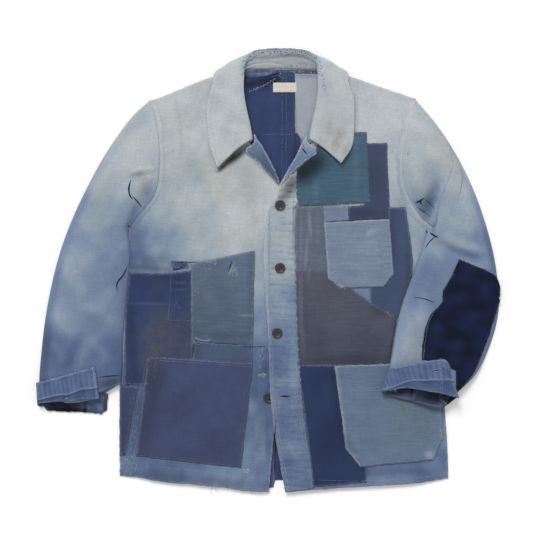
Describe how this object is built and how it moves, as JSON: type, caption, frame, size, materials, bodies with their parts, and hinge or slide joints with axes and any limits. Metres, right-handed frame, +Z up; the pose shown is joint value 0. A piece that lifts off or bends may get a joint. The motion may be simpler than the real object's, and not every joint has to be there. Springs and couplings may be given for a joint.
{
  "type": "patched boro jacket",
  "caption": "Worn patched cotton work jacket laid flat on its back, with a shirt collar, a buttoned front, patch pockets, an elbow patch and turned-up cuffs.",
  "frame": {"origin": "on the surface it lies on, below the middle of its outline", "axes": "+Z up from the surface, through the jacket's front; +Y towards the collar; +X towards the wearer's left side"},
  "size_m": [0.7909, 0.7526, 0.0358],
  "materials": {
    "faded_cotton": "washed-out cotton twill, paler at the shoulders, matt",
    "cuff_cotton": "blue cotton twill, turned up, matt",
    "lapel_denim": "blue denim facing with a frayed edge, matt",
    "navy_cotton": "dark navy cotton, matt",
    "dark_cotton": "dark blue cotton, worn, matt",
    "teal_cotton": "teal cotton, matt",
    "plum_cotton": "purple-blue cotton, worn, matt",
    "brown_cotton": "brown-grey cotton, stained, matt",
    "grey_cotton": "grey-blue cotton, matt",
    "mid_cotton": "mid-blue cotton, worn, matt",
    "light_denim": "light blue denim, worn, matt",
    "pocket_cotton": "blue-grey cotton, stained, matt",
    "label_tape": "blank cream woven tape, matt",
    "horn": "dark horn, polished"
  },
  "bodies": {
    "root": {"back": "dark_cotton", "inner_patch": "dark_cotton", "neck_label": "label_tape", "front_right": "faded_cotton", "front_left": "faded_cotton", "placket": "light_denim", "lapel_right": "lapel_denim", "lapel_left": "lapel_denim", "collar": "faded_cotton", "sleeve_right": "faded_cotton", "sleeve_left_arm": "faded_cotton", "sleeve_left_forearm": "faded_cotton", "cuff_right": "cuff_cotton", "cuff_left": "cuff_cotton", "elbow_patch": "navy_cotton", "chest_pocket": "light_denim", "hip_pocket": "pocket_cotton", "patch_right_breast": "mid_cotton", "patch_right_strip": "dark_cotton", "patch_right_side": "dark_cotton", "patch_right_hip": "plum_cotton", "patch_right_hem": "plum_cotton", "patch_left_teal": "teal_cotton", "patch_left_plum": "plum_cotton", "patch_left_tab": "light_denim", "patch_left_grey": "grey_cotton", "patch_left_side": "mid_cotton", "patch_left_brown": "brown_cotton", "patch_left_navy": "dark_cotton", "button_1": "horn", "button_2": "horn", "button_3": "horn", "button_4": "horn"}
  },
  "joints": []
}
